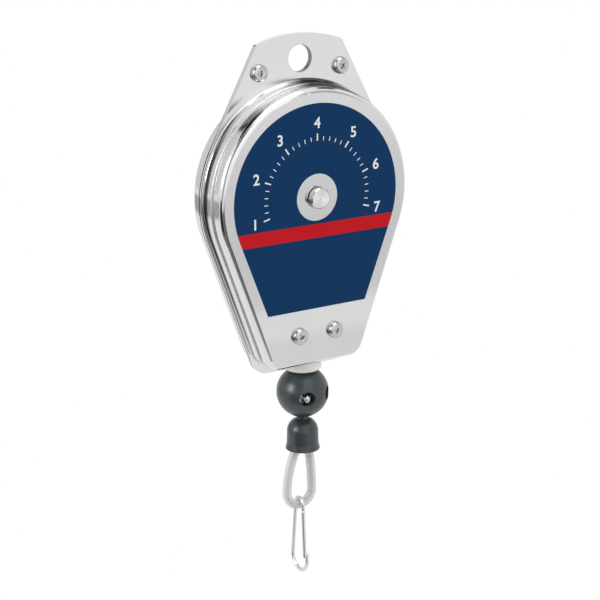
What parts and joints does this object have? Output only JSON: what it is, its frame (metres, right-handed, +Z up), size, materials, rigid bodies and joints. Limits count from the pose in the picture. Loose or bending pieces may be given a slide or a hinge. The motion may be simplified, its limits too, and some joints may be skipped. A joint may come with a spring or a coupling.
{
  "type": "spring tool balancer",
  "caption": "Hanging spring balancer: teardrop stamped steel case with a top hanging plate, sprung rope drum inside, stop ball, sleeved rope loop and wire snap hook.",
  "frame": {"origin": "middle of the hanging hole in the top plate, halfway through the two sheets", "axes": "+Z up along the hanging direction, +X to the right seen from the labelled front, +Y to the back, along the hanging hole and the spool shaft"},
  "size_m": [0.108, 0.0391, 0.2732],
  "materials": {
    "plated_steel": "bright zinc-plated sheet, polished, with sharp streaky reflections",
    "label": "satin printed sticker, dark blue with a red band",
    "screw_steel": "bright zinc-plated screws and nuts",
    "shaft_steel": "turned steel, bright",
    "spring_steel": "blued spring steel",
    "spool_alloy": "plain aluminium",
    "nylon": "cream nylon, waxy",
    "rope_steel": "galvanised wire rope",
    "black_rubber": "black moulded polymer with a soft sheen",
    "sleeve_clear": "clear soft tube over the rope",
    "wire_nickel": "nickel-plated spring wire",
    "ferrule_alloy": "pressed aluminium"
  },
  "bodies": {
    "casing": {"front_shell": "plated_steel", "rear_shell": "plated_steel", "face_label": "label", "top_screws": "screw_steel", "top_nuts": "screw_steel", "lower_screws": "screw_steel", "lower_nuts": "screw_steel", "lower_spacers": "screw_steel", "shaft": "shaft_steel", "front_boss": "shaft_steel", "rear_boss": "shaft_steel", "spool_washers": "screw_steel", "shaft_clips": "screw_steel", "spring_arbor": "shaft_steel", "ratchet_wheel": "shaft_steel", "pawl_pin": "screw_steel", "rope_guide": "nylon", "rope_lead": "rope_steel", "rope_run": "rope_steel"},
    "spool": {"spool_drum": "spool_alloy", "spool_cover": "spool_alloy", "cover_screws": "screw_steel", "mainspring": "spring_steel", "rope_wound": "rope_steel", "rope_anchor": "shaft_steel"},
    "pawl_lever": {"pawl": "shaft_steel", "pawl_spring": "spring_steel"},
    "line": {"rope_end": "rope_steel", "ball_half_front": "black_rubber", "ball_half_rear": "black_rubber", "clamp_screws": "screw_steel", "clamp_nuts": "screw_steel", "rope_cap": "black_rubber", "ferrule": "ferrule_alloy", "loop_cable": "rope_steel", "loop_sleeve": "sleeve_clear"},
    "hook": {"snap_hook": "wire_nickel"},
    "gate": {"snap_gate": "wire_nickel"}
  },
  "joints": [
    {"name": "line_pull", "type": "slide", "parent": "casing", "child": "line", "axis": [0, 0, -1], "range_m": [0, 0.8], "stiffness_N_per_m": 3, "springref_m": -1.7, "deforming": ["rope_run"]},
    {"name": "spool_spin", "type": "hinge", "parent": "casing", "child": "spool", "pos_m": [0, -0.003, -0.0635], "axis": [0, 1, 0], "range_deg": [0, 1625.9]},
    {"name": "pawl_lift", "type": "hinge", "parent": "casing", "child": "pawl_lever", "pos_m": [0.0155, 0.0134, -0.0537], "axis": [0, 1, 0], "range_deg": [0, 14], "stiffness_Nm_per_rad": 0.02, "springref_deg": -28.65},
    {"name": "hook_swing", "type": "hinge", "parent": "line", "child": "hook", "pos_m": [-0.002, -0.003, -0.22465], "axis": [1, 0, 0], "range_deg": [-80, 80]},
    {"name": "gate_press", "type": "hinge", "parent": "hook", "child": "gate", "pos_m": [-0.002, -0.0064, -0.22785], "axis": [1, 0, 0], "range_deg": [0, 14], "stiffness_Nm_per_rad": 0.05, "springref_deg": -17.19}
  ],
  "couplings": [
    {"joint": "spool_spin", "follows": "line_pull", "rad_per_m": 35.461}
  ]
}
